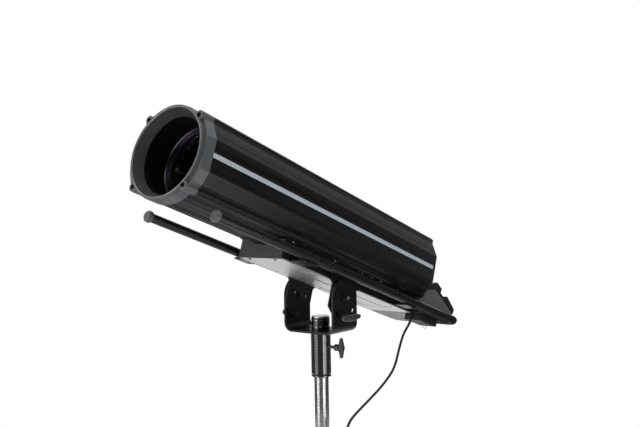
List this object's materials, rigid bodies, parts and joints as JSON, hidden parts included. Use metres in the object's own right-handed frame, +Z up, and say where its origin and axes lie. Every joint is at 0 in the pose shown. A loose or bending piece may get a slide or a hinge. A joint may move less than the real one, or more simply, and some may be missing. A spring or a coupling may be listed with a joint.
{
  "type": "followspot",
  "caption": "Long zoom followspot head on a tilting, turning yoke above its stand tube, with side rails, rear handle, control panel, lock knobs and a hanging mains cord.",
  "frame": {"origin": "centre of the stand tube's lower end face", "axes": "+Z up along the stand tube, -Y the way the beam points, +X towards the lamp's right-hand side with the T-shaped tilt knob, as seen from behind"},
  "size_m": [0.226, 1.0325, 0.8871],
  "materials": {
    "tube_steel": "polished",
    "steel": "satin",
    "black_paint": "satin",
    "housing_black": "matte",
    "bezel_grey": "satin",
    "baffle_grey": "matte",
    "bracket_grey": "satin",
    "plate_silver": "satin",
    "black_plastic": "matte",
    "knob_grey": "satin",
    "box_grey": "satin",
    "display_glass": "gloss",
    "lens_glass": "gloss",
    "cord_rubber": "matte"
  },
  "bodies": {
    "stand": {"stand_tube": "tube_steel", "tube_plug": "black_plastic", "sleeve": "black_paint", "hub_nut": "black_paint", "hub_disc": "steel"},
    "sleeve_knob": {"sleeve_knob": "knob_grey"},
    "yoke": {"yoke": "black_paint", "pivot_bolt_left": "steel", "pivot_bolt_right": "steel"},
    "head": {"housing": "housing_black", "front_bezel": "bezel_grey", "baffle": "baffle_grey", "rear_cap": "black_plastic", "lens_ring": "housing_black", "front_lens": "lens_glass", "guide_rod_left": "steel", "guide_rod_right": "steel", "gate_plate": "housing_black", "heat_sink": "plate_silver", "fan_frame": "black_plastic", "channel": "black_paint", "base_plate": "plate_silver", "front_bracket": "bracket_grey", "head_bracket_left": "black_paint", "head_bracket_right": "black_paint", "rail_left": "black_paint", "rail_right": "black_paint", "front_rod_left": "black_paint", "front_rod_right": "black_paint", "rod_cap_left": "bezel_grey", "rod_cap_right": "bezel_grey", "front_clamp_left": "black_paint", "front_clamp_right": "black_paint", "rear_clamp_left": "black_paint", "rear_clamp_right": "black_paint", "rear_handle": "black_paint", "rear_tray": "black_paint", "control_box": "box_grey", "control_panel": "black_plastic", "display": "display_glass", "socket_box": "black_plastic", "dmx_socket": "black_plastic", "safety_eye": "steel", "cord_gland": "black_plastic", "cord": "cord_rubber", "cord_coil": "cord_rubber", "cord_plug": "cord_rubber"},
    "tilt_knob_right": {"tilt_knob_right": "knob_grey"},
    "tilt_knob_left": {"tilt_knob_left": "knob_grey"},
    "zoom": {"zoom_carriage": "housing_black", "zoom_lens": "lens_glass"},
    "fan": {"fan_rotor": "knob_grey"},
    "button_1": {"button_1": "knob_grey"},
    "button_2": {"button_2": "knob_grey"},
    "button_3": {"button_3": "knob_grey"},
    "button_4": {"button_4": "knob_grey"},
    "dimmer_dial": {"dimmer_dial": "knob_grey"},
    "zoom_dial": {"zoom_dial": "knob_grey"},
    "power_switch": {"power_switch": "black_plastic"},
    "safety_ring": {"safety_ring": "steel"}
  },
  "joints": [
    {"name": "pan", "type": "hinge", "parent": "stand", "child": "yoke", "pos_m": [0, 0, 0.4], "axis": [0, 0, 1], "continuous": true},
    {"name": "sleeve_knob_turn", "type": "hinge", "parent": "stand", "child": "sleeve_knob", "pos_m": [0.04325, 0, 0.3375], "axis": [1, 0, 0], "continuous": true},
    {"name": "tilt", "type": "hinge", "parent": "yoke", "child": "head", "pos_m": [0, 0, 0.4583], "axis": [1, 0, 0], "range_deg": [-26.2, 63.8]},
    {"name": "tilt_knob_right_turn", "type": "hinge", "parent": "head", "child": "tilt_knob_right", "pos_m": [0.0761, -0.01482, 0.41475], "axis": [1, 0, 0], "continuous": true},
    {"name": "tilt_knob_left_turn", "type": "hinge", "parent": "head", "child": "tilt_knob_left", "pos_m": [-0.0761, -0.01482, 0.41475], "axis": [-1, 0, 0], "continuous": true},
    {"name": "zoom_slide", "type": "slide", "parent": "head", "child": "zoom", "axis": [0, -0.9466, 0.3223], "range_m": [-0.22, 0.1]},
    {"name": "fan_spin", "type": "hinge", "parent": "head", "child": "fan", "pos_m": [0, 0.15408, 0.57486], "axis": [0, -0.9466, 0.3223], "continuous": true},
    {"name": "button_1_press", "type": "slide", "parent": "head", "child": "button_1", "axis": [0, -0.6695, -0.7428], "range_m": [0, 0.0012], "stiffness_N_per_m": 400, "springref_m": -0.0005},
    {"name": "button_2_press", "type": "slide", "parent": "head", "child": "button_2", "axis": [0, -0.6695, -0.7428], "range_m": [0, 0.0012], "stiffness_N_per_m": 400, "springref_m": -0.0005},
    {"name": "button_3_press", "type": "slide", "parent": "head", "child": "button_3", "axis": [0, -0.6695, -0.7428], "range_m": [0, 0.0012], "stiffness_N_per_m": 400, "springref_m": -0.0005},
    {"name": "button_4_press", "type": "slide", "parent": "head", "child": "button_4", "axis": [0, -0.6695, -0.7428], "range_m": [0, 0.0012], "stiffness_N_per_m": 400, "springref_m": -0.0005},
    {"name": "dimmer_dial_turn", "type": "hinge", "parent": "head", "child": "dimmer_dial", "pos_m": [-0.026, 0.45929, 0.41593], "axis": [0, 0.6695, 0.7428], "continuous": true},
    {"name": "zoom_dial_turn", "type": "hinge", "parent": "head", "child": "zoom_dial", "pos_m": [0.026, 0.45929, 0.41593], "axis": [0, 0.6695, 0.7428], "continuous": true},
    {"name": "power_switch_rock", "type": "hinge", "parent": "head", "child": "power_switch", "pos_m": [0.031, 0.41318, 0.34701], "axis": [1, 0, 0], "range_deg": [-16, 0]},
    {"name": "safety_ring_swing", "type": "hinge", "parent": "head", "child": "safety_ring", "pos_m": [0.066, 0.36815, 0.34818], "axis": [1, 0, 0], "range_deg": [-98.8, 61.2]}
  ]
}
